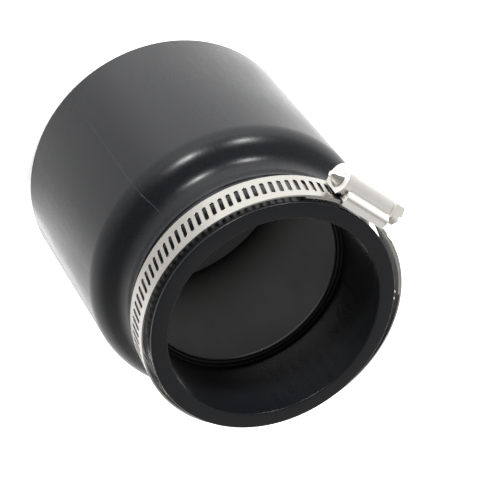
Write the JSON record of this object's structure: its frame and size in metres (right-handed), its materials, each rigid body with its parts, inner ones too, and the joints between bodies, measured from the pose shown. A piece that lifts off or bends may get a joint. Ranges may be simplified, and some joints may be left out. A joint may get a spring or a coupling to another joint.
{
  "type": "reducing pipe coupling",
  "caption": "Stepped rubber reducing coupling for joining two plain pipe ends, with a perforated worm-drive band clamp hanging loose on its narrow neck.",
  "frame": {"origin": "centre of the wide mouth, in the plane of the rim that the sleeve stands on", "axes": "+Z along the sleeve's axis, out of the narrow neck; +X towards the clamp's housing; +Y along the worm screw, from its head towards its tip"},
  "size_m": [0.1202, 0.1184, 0.1226],
  "materials": {
    "rubber": "satin moulded",
    "band_steel": "bright rolled",
    "housing_steel": "fine brushed, pressed",
    "screw_steel": "bright plated"
  },
  "bodies": {
    "sleeve": {"coupling_sleeve": "rubber"},
    "clamp_frame": {"clamp_housing": "housing_steel", "clamp_saddle": "band_steel", "band_fixed_end": "band_steel"},
    "band": {"clamp_band": "band_steel"},
    "screw": {"worm_screw": "screw_steel"}
  },
  "joints": [
    {"name": "clamp_turn", "type": "hinge", "parent": "sleeve", "child": "clamp_frame", "pos_m": [0, 0, 0.1114], "axis": [0, 0, 1], "continuous": true},
    {"name": "screw_spin", "type": "hinge", "parent": "clamp_frame", "child": "screw", "pos_m": [0.05496, -0.0011, 0.11416], "axis": [0, 1, 0], "range_deg": [-360, 2160]},
    {"name": "band_travel", "type": "hinge", "parent": "clamp_frame", "child": "band", "pos_m": [0.0004, -0.0011, 0.1114], "axis": [0.0506, 0, -0.9987], "range_deg": [-3.6, 21.6]}
  ],
  "couplings": [
    {"joint": "band_travel", "follows": "screw_spin", "ratio": 0.01}
  ]
}
